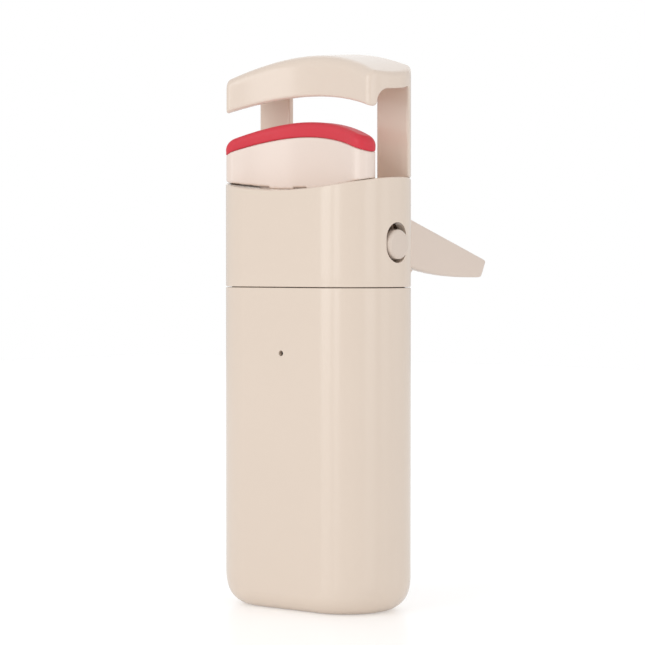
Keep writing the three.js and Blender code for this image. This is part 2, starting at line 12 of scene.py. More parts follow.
import bmesh
import bpy
import numpy as np
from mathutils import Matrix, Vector


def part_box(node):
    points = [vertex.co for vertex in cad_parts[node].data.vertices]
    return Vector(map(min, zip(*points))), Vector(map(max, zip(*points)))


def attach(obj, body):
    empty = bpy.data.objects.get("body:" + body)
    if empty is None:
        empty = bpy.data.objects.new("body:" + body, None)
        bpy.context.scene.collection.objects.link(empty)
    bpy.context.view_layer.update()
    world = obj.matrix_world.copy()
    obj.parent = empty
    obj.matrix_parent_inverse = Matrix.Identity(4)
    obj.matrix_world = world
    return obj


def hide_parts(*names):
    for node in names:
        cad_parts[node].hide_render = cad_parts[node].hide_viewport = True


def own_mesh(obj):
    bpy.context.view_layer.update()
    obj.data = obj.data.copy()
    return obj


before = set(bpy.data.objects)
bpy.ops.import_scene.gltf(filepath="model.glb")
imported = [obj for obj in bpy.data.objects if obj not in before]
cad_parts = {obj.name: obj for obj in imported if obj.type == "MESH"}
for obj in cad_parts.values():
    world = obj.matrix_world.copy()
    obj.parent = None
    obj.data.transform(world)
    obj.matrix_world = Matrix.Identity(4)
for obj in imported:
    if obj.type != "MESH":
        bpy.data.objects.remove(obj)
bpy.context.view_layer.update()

MM = 0.001

# ---------------------------------------------------------------- dimensions shared with the CAD frame

WIDTH, DEPTH, CORNER = 35.0, 19.1, 9.1
WALL = 1.5
FOOT_END_WIDTH, FOOT_END_HEIGHT, FOOT_FRONT_RADIUS = 4.75, 5.75, 3.0
SEAM_Z = 54.7
RIM_Z, RIM_RISE, RIM_SLOPE = 71.1, 1.3 / 15**2, 0.035
PIVOT_Z = 61.9
CAP_RADIUS, CAP_FACE_X = 2.5, 18.0
SIDE_SLOT_Z, SIDE_SLOT_HALF_WIDTH, SIDE_SLOT_HALF_HEIGHT = 62.2, 2.65, 3.4
WINDOW_HALF_WIDTH, WINDOW_BOTTOM, WINDOW_TOP = 10.4, 49.2, 69.0
LEVER_HALF_WIDTH, LEVER_TOP_Z, LEVER_TOP_SLOPE = 10.0, 70.8, -0.306
LEVER_FACET_LEAN, LEVER_FACET_DROP = 0.6, 3.2
LEVER_TAPER_START_Y, LEVER_TAPER, LEVER_TIP_Y = 9.5, 1 / 27, 37.55
LEVER_SIDE_WALL, LEVER_TOP_WALL = 1.6, 2.0
LEVER_ROOT_Y, LEVER_ROOT_RISE, LEVER_FLAT_Y, LEVER_FLAT_Z = 12.7, 1.95, 35.0, 56.2  # its underside's curve
LEVER_TIP_RUN, LEVER_TIP_RISE, LEVER_TIP_Z = 2.3, 2.75, 58.95  # its slanted end, below the tip
HUB_RADIUS, HUB_HALF_WIDTH, PIN_RADIUS = 2.6, 12.2, 1.2
FINGER_LENGTH, FINGER_ANGLE, FINGER_X, FINGER_WIDTH = 6.6, math.radians(17.8), 6.4, 2.4
NOSE_RADIUS = 1.0
BEND_RADIUS, BAR_MIDDLE_Y, BAR_THICKNESS, BAR_HALF_SPAN = 37.0, -2.1, 4.2, 13.8
STEM_MIDDLE_Y, STEM_THICKNESS, STEM_HALF_SPAN = -2.4, 2.4, 8.6
CARRIAGE_TOP_Z, CARRIAGE_TOP_FALL = 80.1, 3.0 / 16.1**2
PAD_CREST_Z, PAD_CREST_FALL = 82.7, 3.35 / 16**2
LIP_EDGE_Z, LIP_EDGE_FALL = 87.05, 2.25 / 15.7**2
LIP_FRONT_Y, LIP_BEND_RADIUS, LIP_THICKNESS = -3.0, 44.0, 1.9
ROOF_TOP_Z, ROOF_TOP_FALL, ROOF_SLOPE = 94.2, 3.0 / 15.7**2, 0.09
ROOF_THICKNESS, ROOF_BACK_Y = 2.75, 7.0
PILLAR_FRONT_Y, PILLAR_INNER_X, PILLAR_PLATE = 4.05, 9.75, 1.15
TONGUE_OUTER_X, TONGUE_FRONT_Y, TONGUE_BACK_Y, TONGUE_BOTTOM_Z = 14.2, 4.25, 5.2, 66.5
TONGUE_ROOM_X, TONGUE_ROOM_BACK_Y = 14.6, 5.5
LIGHT_Z = 43.6
BUTTON_Z, BUTTON_RADIUS = 27.0, 3.5
SOCKET_Z, SOCKET_HALF_WIDTH, SOCKET_HALF_HEIGHT = 11.0, 4.5, 1.65
SCREW_X, FRAME_SCREW_Z, SLEEVE_SCREW_Z = 12.3, 68.6, 48.8
GAP = 0.3
SPRING_X, SPRING_Y, SPRING_RADIUS, SPRING_WIRE, SPRING_TURNS = 11.0, -4.8, 1.15, 0.25, 4
POST_ROOM = 1.0  # radius of the foot's hole round each guide post
SLIT_INNER_X = 6.8  # where the slits below the carriage bar end towards the middle

SEAM_SHOWN = 0.14  # the seam between sleeve and head, closed up further than the frame needs


def rim_z(x, y):
    """The head's rim: it dips at the front centre and leans up towards the back."""
    return RIM_Z + RIM_RISE * x**2 + RIM_SLOPE * (y + DEPTH / 2)


# ---------------------------------------------------------------- camera, light and floor

CAMERA_AZIMUTH = math.radians(40)
CAMERA_DISTANCE = 415.4
CAMERA_Z = 59.0
CAMERA_LENS = 135.4
AIM_RIGHT, AIM_Z = 0.89, 48.6  # the point it looks at, this far to its right of the object's axis


def add_camera():
    data = bpy.data.cameras.new("camera")
    data.lens = CAMERA_LENS
    data.sensor_width = 36
    data.clip_start, data.clip_end = 0.01, 20
    camera = bpy.data.objects.new("camera", data)
    back = Vector((math.sin(CAMERA_AZIMUTH), -math.cos(CAMERA_AZIMUTH), 0))
    camera.location = (back * CAMERA_DISTANCE + Vector((0, 0, CAMERA_Z))) * MM
    aim = Vector((AIM_RIGHT * math.cos(CAMERA_AZIMUTH), AIM_RIGHT * math.sin(CAMERA_AZIMUTH), AIM_Z))
    sight = aim * MM - camera.location
    camera.rotation_mode = "QUATERNION"
    camera.rotation_quaternion = sight.to_track_quat("-Z", "Y")
    bpy.context.scene.collection.objects.link(camera)
    bpy.context.scene.camera = camera


def add_area_light(name, azimuth, elevation, distance, size, watts):
    """A soft light that looks at the middle of the object. Azimuth is the camera's, counted in degrees."""
    data = bpy.data.lights.new(name, "AREA")
    data.shape = "RECTANGLE"
    data.size, data.size_y = size
    data.energy = watts
    light = bpy.data.objects.new(name, data)
    a, e = math.radians(azimuth), math.radians(elevation)
    back = Vector((math.sin(a) * math.cos(e), -math.cos(a) * math.cos(e), math.sin(e)))
    light.location = Vector((0, 0, 0.05)) + back * distance
    light.rotation_mode = "QUATERNION"
    light.rotation_quaternion = back.to_track_quat("Z", "Y")
    bpy.context.scene.collection.objects.link(light)


def camera_switch(tree, for_camera, for_light):
    """A node's output that is for_camera on rays straight from the camera, and for_light on all others."""
    path = tree.nodes.new("ShaderNodeLightPath")
    level = tree.nodes.new("ShaderNodeMix")
    for index, value in ((2, for_light), (3, for_camera)):
        level.inputs[index].default_value = value
    tree.links.new(path.outputs["Is Camera Ray"], level.inputs[0])
    return level.outputs[0]


def add_world(strength):
    """White to the camera, and an even pale light on everything else."""
    world = bpy.data.worlds.new("studio")
    world.use_nodes = True
    tree = world.node_tree
    background = tree.nodes["Background"]
    background.inputs["Color"].default_value = (1, 1, 1, 1)
    tree.links.new(camera_switch(tree, 1.0, strength), background.inputs["Strength"])
    bpy.context.scene.world = world


# ---------------------------------------------------------------- mesh makers


def make_object(name, points, faces, smooth_angle=None):
    """An object from points in millimetres. Edges sharper than smooth_angle degrees shade as edges."""
    mesh = bpy.data.meshes.new(name)
    mesh.from_pydata((np.asarray(points, float) * MM).tolist(), [], faces)
    mesh.validate()
    mesh.shade_smooth()
    if smooth_angle is not None:
        mesh.set_sharp_from_angle(angle=math.radians(smooth_angle))
    piece = bpy.data.objects.new(name, mesh)
    bpy.context.scene.collection.objects.link(piece)
    return piece


def loft(name, loops, smooth_angle=40):
    """A closed body through loops of equal length, capped at both ends."""
    count = len(loops[0])
    points = np.concatenate([np.asarray(loop, float) for loop in loops])
    faces = []
    for i in range(len(loops) - 1):
        low, high = i * count, (i + 1) * count
        for j in range(count):
            k = (j + 1) % count
            faces.append((low + j, low + k, high + k, high + j))
    faces.append(tuple(range(count))[::-1])
    last = (len(loops) - 1) * count
    faces.append(tuple(range(last, last + count)))
    return make_object(name, points, faces, smooth_angle)


def outline(inset, corner_steps=20, side_steps=10):
    """The housing's outline moved in by inset, as an N x 2 array, anticlockwise from above."""
    radius = CORNER - inset
    x, y = WIDTH / 2 - CORNER, DEPTH / 2 - CORNER
    points = []
    for i, (sx, sy) in enumerate([(1, 1), (-1, 1), (-1, -1), (1, -1)]):
        for step in range(corner_steps + 1):
            angle = (i + step / corner_steps) * math.pi / 2
            points.append((sx * x + radius * math.cos(angle), sy * y + radius * math.sin(angle)))
        if i in (0, 2):
            for step in range(1, side_steps):
                share = step / side_steps
                points.append((sx * x * (1 - 2 * share), sy * (y + radius)))
    return np.array(points)


def level_loop(inset, z):
    plan = outline(inset)
    return np.column_stack([plan, np.full(len(plan), z)])


def rounding_inset(width, height, z):
    """How far in a rounding lies at z above its lowest point. It reaches over width and up to height."""
    share = max(0, 1 - z / height)
    return width * (1 - math.sqrt(1 - share**2))


def foot_loop(inset, above):
    """The outline moved in by inset, at a height above the foot's floor, rounded most at its two ends."""
    end = rounding_inset(FOOT_END_WIDTH - inset, FOOT_END_HEIGHT - inset, above)
    front = rounding_inset(FOOT_FRONT_RADIUS - inset, FOOT_FRONT_RADIUS - inset, above)
    loop = level_loop(inset, inset + above)
    loop[:, 0] *= 1 - end / (WIDTH / 2 - inset)
    loop[:, 1] *= 1 - front / (DEPTH / 2 - inset)
    return loop


def foot_heights(height, steps):
    return [height * (1 - math.cos(step / steps * math.pi / 2)) for step in range(steps + 1)]


def rim_loop(inset, lift):
    plan = outline(inset)
    return np.column_stack([plan, rim_z(plan[:, 0], plan[:, 1]) + lift])


def rounding(radius, steps=5):
    """(inset, drop) along a quarter round from a wall to the flat on top of it."""
    for step in range(steps + 1):
        angle = step / steps * math.pi / 2
        yield radius * (1 - math.cos(angle)), radius * (1 - math.sin(angle))


def cut(piece, *cutters):
    """Takes each cutter out of piece and removes it."""
    for cutter in cutters:
        modifier = piece.modifiers.new("cut", "BOOLEAN")
        modifier.operation = "DIFFERENCE"
        modifier.solver = "EXACT"
        modifier.object = cutter
    depsgraph = bpy.context.evaluated_depsgraph_get()
    cut_mesh = bpy.data.meshes.new_from_object(piece.evaluated_get(depsgraph))
    piece.modifiers.clear()
    piece.data = cut_mesh
    for cutter in cutters:
        bpy.data.objects.remove(cutter)


def shade(piece, angle):
    piece.data.shade_smooth()
    piece.data.set_sharp_from_angle(angle=math.radians(angle))


def prism(name, plan, low, high, axis="Z"):
    """A cutter with the closed outline plan, from low to high along axis."""
    loops = []
    for height in (low, high):
        along = np.full(len(plan), height)
        if axis == "X":
            loops.append(np.column_stack([along, plan]))
        elif axis == "Y":
            loops.append(np.column_stack([plan[:, 0], along, plan[:, 1]]))
        else:
            loops.append(np.column_stack([plan, along]))
    piece = loft(name, loops)
    fix_normals(piece)
    return piece


def fix_normals(piece):
    """Turns all faces outwards."""
    work = bmesh.new()
    work.from_mesh(piece.data)
    bmesh.ops.recalc_face_normals(work, faces=work.faces)
    work.to_mesh(piece.data)
    work.free()


def disc_points(radius, x, z, steps=48):
    angles = np.linspace(0, 2 * math.pi, steps, endpoint=False)
    return np.column_stack([x + radius * np.cos(angles), z + radius * np.sin(angles)])


def slot_points(half_width, half_height, x, z, steps=16):
    """A rounded slot, its ends half circles along its longer side."""
    radius = min(half_width, half_height)
    points = []
    for i, (sx, sz) in enumerate([(1, 1), (-1, 1), (-1, -1), (1, -1)]):
        for step in range(steps + 1):
            angle = (i + step / steps) * math.pi / 2
            px = sx * (half_width - radius) + radius * math.cos(angle)
            pz = sz * (half_height - radius) + radius * math.sin(angle)
            if not points or math.dist(points[-1], (x + px, z + pz)) > 1e-6:
                points.append((x + px, z + pz))
    if math.dist(points[0], points[-1]) < 1e-6:
        points.pop()
    return np.array(points)


def rounded_box_points(x0, x1, z0, z1, radius, steps=8):
    points = []
    corners = [(x1, z1, 1, 1), (x0, z1, -1, 1), (x0, z0, -1, -1), (x1, z0, 1, -1)]
    for i, (cx, cz, sx, sz) in enumerate(corners):
        for step in range(steps + 1):
            angle = (i + step / steps) * math.pi / 2
            px = cx - sx * radius + radius * math.cos(angle)
            pz = cz - sz * radius + radius * math.sin(angle)
            points.append((px, pz))
    return np.array(points)


# ---------------------------------------------------------------- distance functions and their surfaces


def meet(a, b, radius=0.0):
    """Where both are inside, its outer edge rounded."""
    if radius == 0:
        return np.maximum(a, b)
    u, v = np.maximum(radius + a, 0), np.maximum(radius + b, 0)
    return np.minimum(-radius, np.maximum(a, b)) + np.hypot(u, v)


def join(a, b, radius=0.0):
    """Where either is inside, its inner corner filled with a fillet."""
    return -meet(-a, -b, radius)


def plan_distance(x, y, inset=0.0):
    """To the housing's outline, negative inside."""
    radius = CORNER - inset
    qx = np.abs(x) - (WIDTH / 2 - CORNER)
    qy = np.abs(y) - (DEPTH / 2 - CORNER)
    return np.hypot(np.maximum(qx, 0), np.maximum(qy, 0)) + np.minimum(np.maximum(qx, qy), 0) - radius


def arch_distance(x, y, z, middle, fall, slope=0.0):
    """To the arched surface z = middle - fall x^2 + slope y, negative below it."""
    return (z - middle + fall * x**2 - slope * y) / np.sqrt(1 + (2 * fall * x) ** 2 + slope**2)


def rim_distance(x, y, z):
    return arch_distance(x, y, z, RIM_Z + RIM_SLOPE * DEPTH / 2, -RIM_RISE, RIM_SLOPE)


def bar_distance(x, y, middle_y, thickness, half_span):
    """To a bar bent round the eye, with round ends, in plan."""
    centre_y = middle_y - BEND_RADIUS
    sweep = math.asin(half_span / BEND_RADIUS)
    end_y = centre_y + BEND_RADIUS * math.cos(sweep)
    angle = np.arctan2(np.abs(x), y - centre_y)
    along = np.abs(np.hypot(x, y - centre_y) - BEND_RADIUS)
    end = np.hypot(np.abs(x) - half_span, y - end_y)
    return np.where(angle < sweep, along, end) - thickness / 2


def slab(value, low, high):
    """Between two levels of one coordinate."""
    return np.maximum(low - value, value - high)


def surface_net(name, distance, low, high, cell, relax=3):
    """The surface where distance(x, y, z) is 0, as a quad mesh from a grid of cubes of side cell."""
    axes = [np.arange(a - 1.5 * cell, b + 2.5 * cell, cell) for a, b in zip(low, high)]
    grid = distance(*np.meshgrid(*axes, indexing="ij"))
    shape = np.array(grid.shape)
    inside = grid < 0
    total = np.zeros((*(shape - 1), 3))
    count = np.zeros(shape - 1)
    edges = []
    for axis in range(3):
        first = [slice(None)] * 3
        second = [slice(None)] * 3
        first[axis], second[axis] = slice(0, -1), slice(1, None)
        a, b = grid[tuple(first)], grid[tuple(second)]
        crossing = inside[tuple(first)] != inside[tuple(second)]
        where = np.argwhere(crossing)
        share = a[crossing] / (a[crossing] - b[crossing])
        point = np.stack([axes[k][where[:, k]] for k in range(3)], 1)
        point[:, axis] += share * cell
        edges.append((axis, where, inside[tuple(first)][crossing]))
        u, v = [k for k in range(3) if k != axis]
        for du in (0, 1):
            for dv in (0, 1):
                index = where.copy()
                index[:, u] -= du
                index[:, v] -= dv
                np.add.at(total, tuple(index.T), point)
                np.add.at(count, tuple(index.T), 1)
    used = count > 0
    number = np.full(count.shape, -1)
    number[used] = np.arange(used.sum())
    points = total[used] / count[used][:, None]
    quads = []
    for axis, where, starts_inside in edges:
        u, v = (axis + 1) % 3, (axis + 2) % 3
        corners = []
        for du, dv in ((1, 1), (0, 1), (0, 0), (1, 0)):
            index = where.copy()
            index[:, u] -= du
            index[:, v] -= dv
            corners.append(number[tuple(index.T)])
        quad = np.stack(corners, 1)
        quad[~starts_inside] = quad[~starts_inside][:, ::-1]
        quads.append(quad)
    quads = np.concatenate(quads)
    points = pull(points, distance)
    for _ in range(relax):
        points = pull(relaxed(points, quads), distance)
    return make_object(name, points, quads.tolist())


def pull(points, distance, steps=3, h=1e-3):
    """Moves points along the distance's gradient onto its zero level."""
    for _ in range(steps):
        x, y, z = points.T
        value = distance(x, y, z)
        slope = np.stack(
            [
                distance(x + h, y, z) - distance(x - h, y, z),
                distance(x, y + h, z) - distance(x, y - h, z),
                distance(x, y, z + h) - distance(x, y, z - h),
            ],
            1,
        ) / (2 * h)
        size = np.maximum((slope**2).sum(1), 0.05)
        points = points - (value / size)[:, None] * slope
    return points


def relaxed(points, quads, share=0.5):
    """Each point moved part of the way to the mean of its neighbours."""
    total = np.zeros_like(points)
    count = np.zeros(len(points))
    for k in range(4):
        a, b = quads[:, k], quads[:, (k + 1) % 4]
        np.add.at(total, a, points[b])
        np.add.at(count, a, 1)
        np.add.at(total, b, points[a])
        np.add.at(count, b, 1)
    mean = total / np.maximum(count, 1)[:, None]
    return points + share * (mean - points)


# ---------------------------------------------------------------- housing


def turned(name, profile, centre, axis, steps=64):
    """A body of revolution about X or Y. The profile is (radius, distance along axis) from end to end."""
    angles = np.linspace(0, 2 * math.pi, steps, endpoint=False)
    loops = []
    for radius, along in profile:
        u, v = radius * np.cos(angles), radius * np.sin(angles)
        w = np.full(steps, along)
        columns = {"X": (w, u, v), "Y": (v, w, u)}[axis]
        loops.append(np.column_stack(columns) + np.array(centre))
    piece = loft(name, loops, 50)
    fix_normals(piece)
    return piece


def window_cutter():
    plan = rounded_box_points(-WINDOW_HALF_WIDTH, WINDOW_HALF_WIDTH, WINDOW_BOTTOM, WINDOW_TOP, 1.4)
    return prism("window", plan, 3, 14, "Y")


def screw_cutters(z):
    cutters = []
    for side in (-1, 1):
        cutters.append(prism("shank_hole", disc_points(0.95, side * SCREW_X, z, 32), 3, 9.5, "Y"))
        cutters.append(prism("head_hole", disc_points(1.7, side * SCREW_X, z, 48), 7.6, 12, "Y"))
    return cutters


def make_sleeve():
    top = SEAM_Z - SEAM_SHOWN / 2
    edge = 0.16
    loops = [foot_loop(0, above) for above in foot_heights(FOOT_END_HEIGHT, 24)]
    for z in np.linspace(FOOT_END_HEIGHT, top - edge, 9)[1:-1]:
        loops.append(level_loop(0, z))
    for inset, drop in rounding(edge):
        loops.append(level_loop(inset, top - drop))
    for inset, drop in reversed(list(rounding(0.15, 3))):
        loops.append(level_loop(WALL - inset, top - drop))
    for z in np.linspace(top - 1, FOOT_END_HEIGHT, 7)[:-1]:
        loops.append(level_loop(WALL, z))
    for above in reversed(foot_heights(FOOT_END_HEIGHT - WALL, 12)):
        loops.append(foot_loop(WALL, above))
    sleeve = loft("sleeve_shell", loops)
    port = slot_points(SOCKET_HALF_WIDTH + GAP, SOCKET_HALF_HEIGHT + GAP, 0, SOCKET_Z)
    cut(
        sleeve,
        window_cutter(),
        *screw_cutters(SLEEVE_SCREW_Z),
        prism("light_hole", disc_points(0.48, 0, LIGHT_Z, 32), -14, -5, "Y"),
        prism("button_hole", disc_points(BUTTON_RADIUS + GAP, 0, BUTTON_Z, 64), 5, 14, "Y"),
        prism("port", port, 5, 14, "Y"),
    )
    shade(sleeve, 35)
    return sleeve


def bent_bar_points(middle_y, thickness, half_span, steps=24, end_steps=12):
    centre_y = middle_y - BEND_RADIUS
    sweep = math.asin(half_span / BEND_RADIUS)
    end_y = centre_y + BEND_RADIUS * math.cos(sweep)
    half = thickness / 2
    points = []
    for angle in np.linspace(-sweep, sweep, steps):
        radius = BEND_RADIUS + half
        points.append((radius * math.sin(angle), centre_y + radius * math.cos(angle)))
    for turn in np.linspace(0, math.pi, end_steps + 2)[1:-1]:
        angle = sweep + turn
        points.append((half_span + half * math.sin(angle), end_y + half * math.cos(angle)))
    for angle in np.linspace(sweep, -sweep, steps):
        radius = BEND_RADIUS - half
        points.append((radius * math.sin(angle), centre_y + radius * math.cos(angle)))
    for turn in np.linspace(math.pi, 2 * math.pi, end_steps + 2)[1:-1]:
        angle = turn - sweep
        points.append((-half_span + half * math.sin(angle), end_y + half * math.cos(angle)))
    return np.array(points)


def make_head():
    bottom = SEAM_Z + SEAM_SHOWN / 2
    edge = 0.16
    loops = []
    for inset in (8.9, 7.5, 6, 4.5, 3, WALL):
        loops.append(rim_loop(inset, -WALL))
    for z in np.linspace(68, bottom + 0.2, 5):
        loops.append(level_loop(WALL, z))
    for inset, drop in rounding(0.15, 3):
        loops.append(level_loop(WALL - inset, bottom + drop))
    for inset, drop in reversed(list(rounding(edge))):
        loops.append(level_loop(inset, bottom + drop))
    for z in np.linspace(bottom + edge, 68, 6)[1:]:
        loops.append(level_loop(0, z))
    for inset, drop in rounding(0.35, 6):
        loops.append(rim_loop(inset, -drop))
    for inset in (1, 2, 3, 4.5, 6, 7.5, 8.9):
        loops.append(rim_loop(inset, 0))
    head = loft("head_housing", loops)
    stem_plan = bent_bar_points(STEM_MIDDLE_Y, STEM_THICKNESS + 2 * GAP, STEM_HALF_SPAN)
    cutters = [window_cutter(), prism("stem_slot", stem_plan, 64, 80), *screw_cutters(FRAME_SCREW_Z)]
    groove_plan = bent_bar_points(BAR_MIDDLE_Y, BAR_THICKNESS - 1, BAR_HALF_SPAN)
    cutters.append(prism("groove", groove_plan, 71.25, 80))
    side = slot_points(SIDE_SLOT_HALF_WIDTH, SIDE_SLOT_HALF_HEIGHT, 0, SIDE_SLOT_Z)
    cutters.append(prism("right_slot", side, 13, 20, "X"))
    cutters.append(prism("left_slot", side, -20, -13, "X"))
    for sign in (-1, 1):
        x0, x1 = sorted((sign * PILLAR_INNER_X, sign * TONGUE_ROOM_X))
        socket = rounded_box_points(x0, x1, PILLAR_FRONT_Y - 0.1, TONGUE_ROOM_BACK_Y, 0.1, 2)
        cutters.append(prism("socket", socket, 64, 80))
    cut(head, *cutters)
    shade(head, 35)
    return head


def make_pivot_cap(side):
    edge = 0.55
    thickness = 1.9
    profile = [(0.02, 0), (CAP_RADIUS - 0.15, 0), (CAP_RADIUS, 0.15)]
    for inset, drop in rounding(edge, 8):
        profile.append((CAP_RADIUS - inset, thickness - drop))
    for radius, rise in ((CAP_RADIUS * 0.6, 0.01), (CAP_RADIUS * 0.3, 0.02), (0.02, 0.02)):
        profile.append((radius, thickness + rise))
    name = ("left" if side < 0 else "right") + "_pivot_button"
    points = [(r, side * (CAP_FACE_X - thickness + along)) for r, along in profile]
    return turned(name, points, (0, 0, PIVOT_Z), "X")


def make_power_button():
    face, edge = 10.0, 0.45
    profile = [(0.02, 7), (4.4, 7), (4.4, 7.7), (BUTTON_RADIUS, 7.7)]
    for inset, drop in rounding(edge, 6):
        profile.append((BUTTON_RADIUS - inset, face - drop))
    for share in (0.8, 0.6, 0.4, 0.2, 0.006):
        profile.append((BUTTON_RADIUS * share, face - 0.25 * (1 - share**2)))
    return turned("power_key", profile, (0, 0, BUTTON_Z), "Y", 72)


# ---------------------------------------------------------------- jaws, lever and carriage


# Each distance function below is negative inside its piece.


def clamp_distance(x, y, z):
    """Roof, lip and pillars first, then the walls and the top that they share, then the tongues below."""
    from_bend = np.hypot(x, y - LIP_FRONT_Y + LIP_BEND_RADIUS)
    under = -arch_distance(x, y, z, ROOF_TOP_Z - ROOF_THICKNESS, ROOF_TOP_FALL, ROOF_SLOPE)
    lip_edge = -arch_distance(x, y, z, LIP_EDGE_Z, LIP_EDGE_FALL)
    lip = meet(from_bend - LIP_BEND_RADIUS - LIP_THICKNESS, lip_edge, 1.0)
    hood = join(under, lip, 2.2)
    plate = meet(PILLAR_FRONT_Y - y, PILLAR_INNER_X - np.abs(x), 0.25)
    room = meet(meet(plan_distance(x, y, 1.6), PILLAR_FRONT_Y + PILLAR_PLATE - y), z - 88)
    pillar = meet(meet(plate, -room, 0.25), 0.08 - rim_distance(x, y, z), 0.12)
    top = arch_distance(x, y, z, ROOF_TOP_Z, ROOF_TOP_FALL, ROOF_SLOPE)
    crown = meet(top, LIP_BEND_RADIUS - from_bend, 1.8)
    walls = meet(plan_distance(x, y), y - ROOF_BACK_Y, 0.6)
    body = meet(join(hood, pillar, 0.9), meet(walls, crown, 0.7), 0.4)
    tongue = slab(np.abs(x), PILLAR_INNER_X + GAP, TONGUE_OUTER_X)
    tongue = np.maximum(tongue, slab(y, TONGUE_FRONT_Y, TONGUE_BACK_Y))
    return join(body, np.maximum(tongue, slab(z, TONGUE_BOTTOM_Z, 80)))


def make_clamp():
    return surface_net("clamp_jaw", clamp_distance, (-17.5, -6.2, 66.3), (17.5, 7.2, 95), 0.27)


def lever_distance(x, y, z):
    """The hollow thumb rest, its neck and hub on the pin, and the two fingers that lift the carriage."""
    top = (z - LEVER_TOP_Z - LEVER_TOP_SLOPE * y) / math.hypot(1, LEVER_TOP_SLOPE)
    half_width = LEVER_HALF_WIDTH - np.maximum(y - LEVER_TAPER_START_Y, 0) * LEVER_TAPER
    side = np.abs(x) - half_width
    facet = (side * LEVER_FACET_DROP + (top + LEVER_FACET_DROP) * LEVER_FACET_LEAN) / math.hypot(
        LEVER_FACET_DROP, LEVER_FACET_LEAN
    )
    share = np.clip((y - LEVER_ROOT_Y) / (LEVER_FLAT_Y - LEVER_ROOT_Y), 0, 1)
    bottom_z = LEVER_FLAT_Z + LEVER_ROOT_RISE * (1 - share) ** 2.5
    bottom_z = bottom_z + 0.164 * np.maximum(LEVER_ROOT_Y - y, 0)
    body = meet(meet(top, meet(side, facet, 0.25), 0.45), bottom_z - z, 0.3)
    tip = (y - LEVER_TIP_Y) * LEVER_TIP_RISE - (z - LEVER_TIP_Z) * LEVER_TIP_RUN
    tip = tip / math.hypot(LEVER_TIP_RUN, LEVER_TIP_RISE)
    body = meet(body, meet(tip, y - LEVER_TIP_Y, 0.3), 0.5)
    body = meet(body, 3.3 - y, 0.5)
    body = meet(body, (z - PIVOT_Z) * 0.57 - (y - 3.6) * 0.82 - 2.4, 0.8)
    channel = np.maximum(side + LEVER_SIDE_WALL, 8.4 - y)
    body = meet(body, -meet(channel, top + LEVER_TOP_WALL, 0.6), 0.2)
    hub = np.hypot(y, z - PIVOT_Z) - HUB_RADIUS
    hub = meet(hub, np.abs(x) - HUB_HALF_WIDTH, 0.3)
    neck = np.maximum(slab(y, -0.5, 6), slab(z, 60.2, 63.8))
    neck = np.maximum(neck, np.abs(x) - LEVER_HALF_WIDTH + 0.4)
    nose_y, nose_z = -math.cos(FINGER_ANGLE), -math.sin(FINGER_ANGLE)
    along = y * nose_y + (z - PIVOT_Z) * nose_z
    across = -y * nose_z + (z - PIVOT_Z) * nose_y
    arm = np.maximum(slab(along, 0, FINGER_LENGTH), np.abs(across) - 0.62)
    arm = join(arm, np.hypot(along - FINGER_LENGTH, across) - NOSE_RADIUS, 0.3)
    arm = meet(arm, np.abs(np.abs(x) - FINGER_X) - FINGER_WIDTH / 2, 0.15)
    whole = join(join(join(body, neck, 0.5), hub, 0.6), arm, 0.3)
    return np.maximum(whole, PIN_RADIUS + 0.1 - np.hypot(y, z - PIVOT_Z))


def make_lever():
    return surface_net("lever_body", lever_distance, (-12.3, -7.8, 56), (12.3, 37.7, 69), 0.3)


def carriage_distance(x, y, z):
    """The bar that shows, with slits along its lower edge, and the stem and foot inside the head."""
    bar = bar_distance(x, y, BAR_MIDDLE_Y, BAR_THICKNESS, BAR_HALF_SPAN)
    top = arch_distance(x, y, z, CARRIAGE_TOP_Z, CARRIAGE_TOP_FALL)
    lift = np.select([(x > -1.8) & (x < 1.0), x < -SLIT_INNER_X, x > 8], [0.34, 0.3, 0.1], 0.02)
    bottom = -(rim_distance(x, y, z) - lift)
    cap = meet(meet(bar, top, 0.25), bottom, 0.1)
    slit_room = np.maximum(bar + 0.6, rim_distance(x, y, z) - 1.6)
    slit_room = np.maximum(slit_room, SLIT_INNER_X - np.abs(x))
    pocket = np.maximum(bar_distance(x, y, BAR_MIDDLE_Y, 2.4, 11.2), 74.6 - z)
    stem = bar_distance(x, y, STEM_MIDDLE_Y, STEM_THICKNESS, STEM_HALF_SPAN)
    foot_z = PIVOT_Z - FINGER_LENGTH * math.sin(FINGER_ANGLE) + NOSE_RADIUS + GAP
    hub_room = np.maximum(-3 - y, z - 65)
    stem = np.maximum(np.maximum(stem, slab(z, foot_z, 76)), -hub_room)
    wide = np.maximum(np.abs(x) - 9, slab(y, -7.3, -3))
    ears = np.maximum(np.abs(x) - 12.3, slab(y, -6.2, -3.2))
    foot = meet(np.minimum(wide, ears), slab(z, foot_z, foot_z + 1.4), 0.2)
    fingers = np.maximum(np.abs(np.abs(x) - FINGER_X) - 1.5, np.maximum(-5.4 - y, z - 63.2))
    post = POST_ROOM - np.hypot(np.abs(x) - SPRING_X, y - SPRING_Y)
    lower = np.maximum(np.maximum(np.minimum(stem, foot), -fingers), post)
    return np.maximum(np.minimum(np.maximum(cap, -slit_room), lower), -pocket)


def make_carriage():
    return surface_net("carriage_body", carriage_distance, (-16.2, -7.5, 60.9), (16.2, 0.4, 80.3), 0.27)


